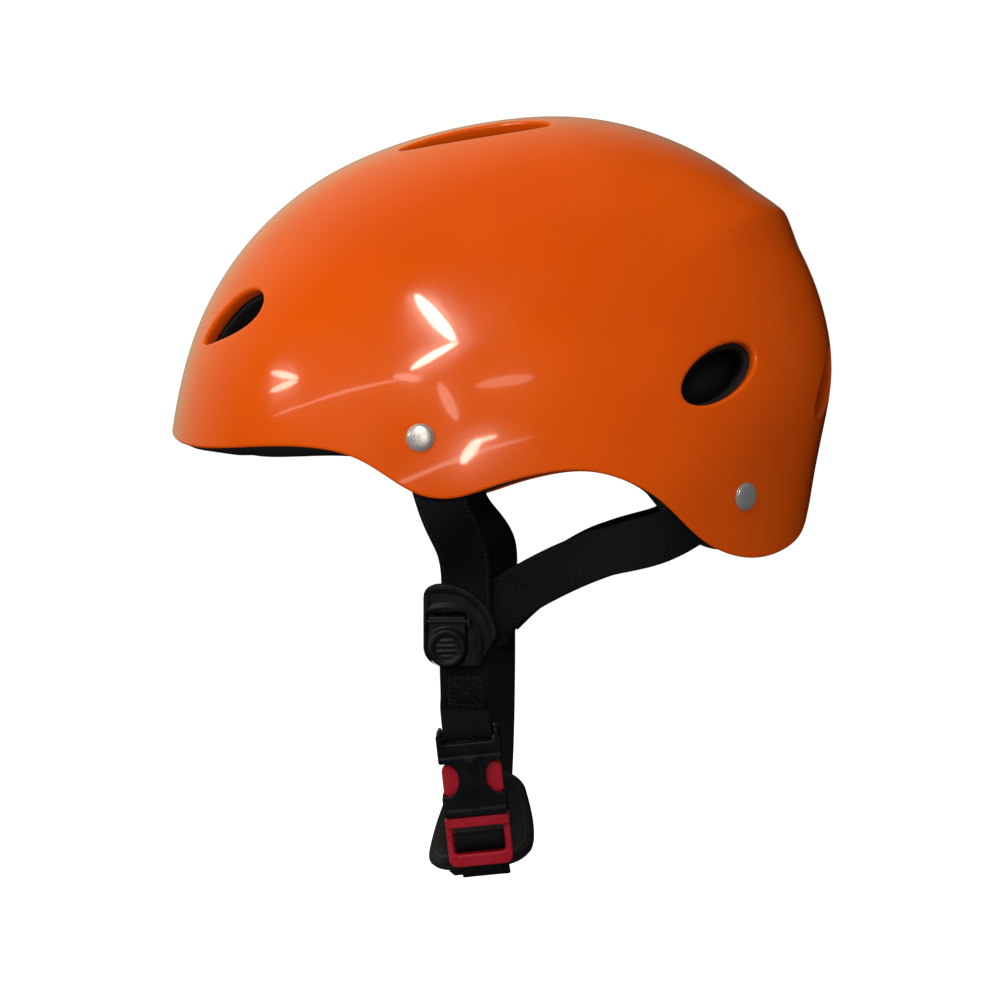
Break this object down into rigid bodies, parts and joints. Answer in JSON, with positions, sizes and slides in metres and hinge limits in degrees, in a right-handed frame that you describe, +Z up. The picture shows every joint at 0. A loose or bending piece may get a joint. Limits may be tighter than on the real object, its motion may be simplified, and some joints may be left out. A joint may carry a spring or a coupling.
{
  "type": "water sports helmet",
  "caption": "Hard-shell water sports helmet with vents, foam liner, comfort pads, riveted webbing harness with cam adjusters, side-release buckle and padded chin strap.",
  "frame": {"origin": "centre of the head opening at brow level, on the plane of symmetry", "axes": "the wearer faces -Y, the wearer's left is +X, +Z is up"},
  "size_m": [0.2164, 0.278, 0.3186],
  "materials": {
    "shell": "high gloss moulded ABS, orange",
    "liner": "matt closed-cell foam",
    "pad": "knitted cover over soft foam",
    "hook_tape": "hook-and-loop tape",
    "rivet": "polished plated steel",
    "webbing": "woven polyester webbing",
    "black_plastic": "satin moulded acetal",
    "red_plastic": "semi-gloss moulded acetal, red"
  },
  "bodies": {
    "helmet": {"outer_shell": "shell", "eva_liner": "liner", "brow_pad": "pad", "crown_pad": "pad", "side_pad_left": "pad", "side_pad_right": "pad", "nape_pad": "pad", "hook_patches": "hook_tape", "front_rivet_left": "rivet", "front_rivet_right": "rivet", "rear_rivet_left": "rivet", "rear_rivet_right": "rivet", "front_washer_left": "rivet", "front_washer_right": "rivet", "rear_washer_left": "rivet", "rear_washer_right": "rivet", "front_strap_left": "webbing", "front_strap_right": "webbing", "rear_strap_left": "webbing", "rear_strap_right": "webbing", "adjuster_body_left": "black_plastic", "adjuster_body_right": "black_plastic", "adjuster_pin_left": "rivet", "adjuster_pin_right": "rivet"},
    "lever_left": {"adjuster_lever_left": "black_plastic"},
    "lever_right": {"adjuster_lever_right": "black_plastic"},
    "chin_loop": {"lower_strap_left": "webbing", "buckle_socket": "black_plastic", "chin_strap": "webbing", "chin_pad": "pad"},
    "plug": {"buckle_plug": "red_plastic", "chin_strap_end": "webbing"},
    "prong_front": {"buckle_prong_front": "red_plastic"},
    "prong_rear": {"buckle_prong_rear": "red_plastic"}
  },
  "joints": [
    {"name": "lever_left_hinge", "type": "hinge", "parent": "helmet", "child": "lever_left", "pos_m": [0.0854, -0.0188, -0.0705], "axis": [0, -1, 0], "range_deg": [0, 80]},
    {"name": "lever_right_hinge", "type": "hinge", "parent": "helmet", "child": "lever_right", "pos_m": [-0.0854, -0.0133, -0.0705], "axis": [0, 1, 0], "range_deg": [0, 80]},
    {"name": "chin_strap_swing", "type": "hinge", "parent": "helmet", "child": "chin_loop", "pos_m": [0, -0.00925, -0.08], "axis": [0.9994, -0.0344, 0], "range_deg": [-20, 20]},
    {"name": "buckle_slide", "type": "slide", "parent": "chin_loop", "child": "plug", "axis": [-0.1652, 0.1001, -0.9812], "range_m": [0, 0.028]},
    {"name": "prong_front_squeeze", "type": "hinge", "parent": "plug", "child": "prong_front", "pos_m": [0.0637, -0.01652, -0.14948], "axis": [-0.9863, -0.0168, 0.1643], "range_deg": [0, 6], "stiffness_Nm_per_rad": 0.6},
    {"name": "prong_rear_squeeze", "type": "hinge", "parent": "plug", "child": "prong_rear", "pos_m": [0.0637, 0.0006, -0.14774], "axis": [0.9863, 0.0168, -0.1643], "range_deg": [0, 6], "stiffness_Nm_per_rad": 0.6}
  ]
}
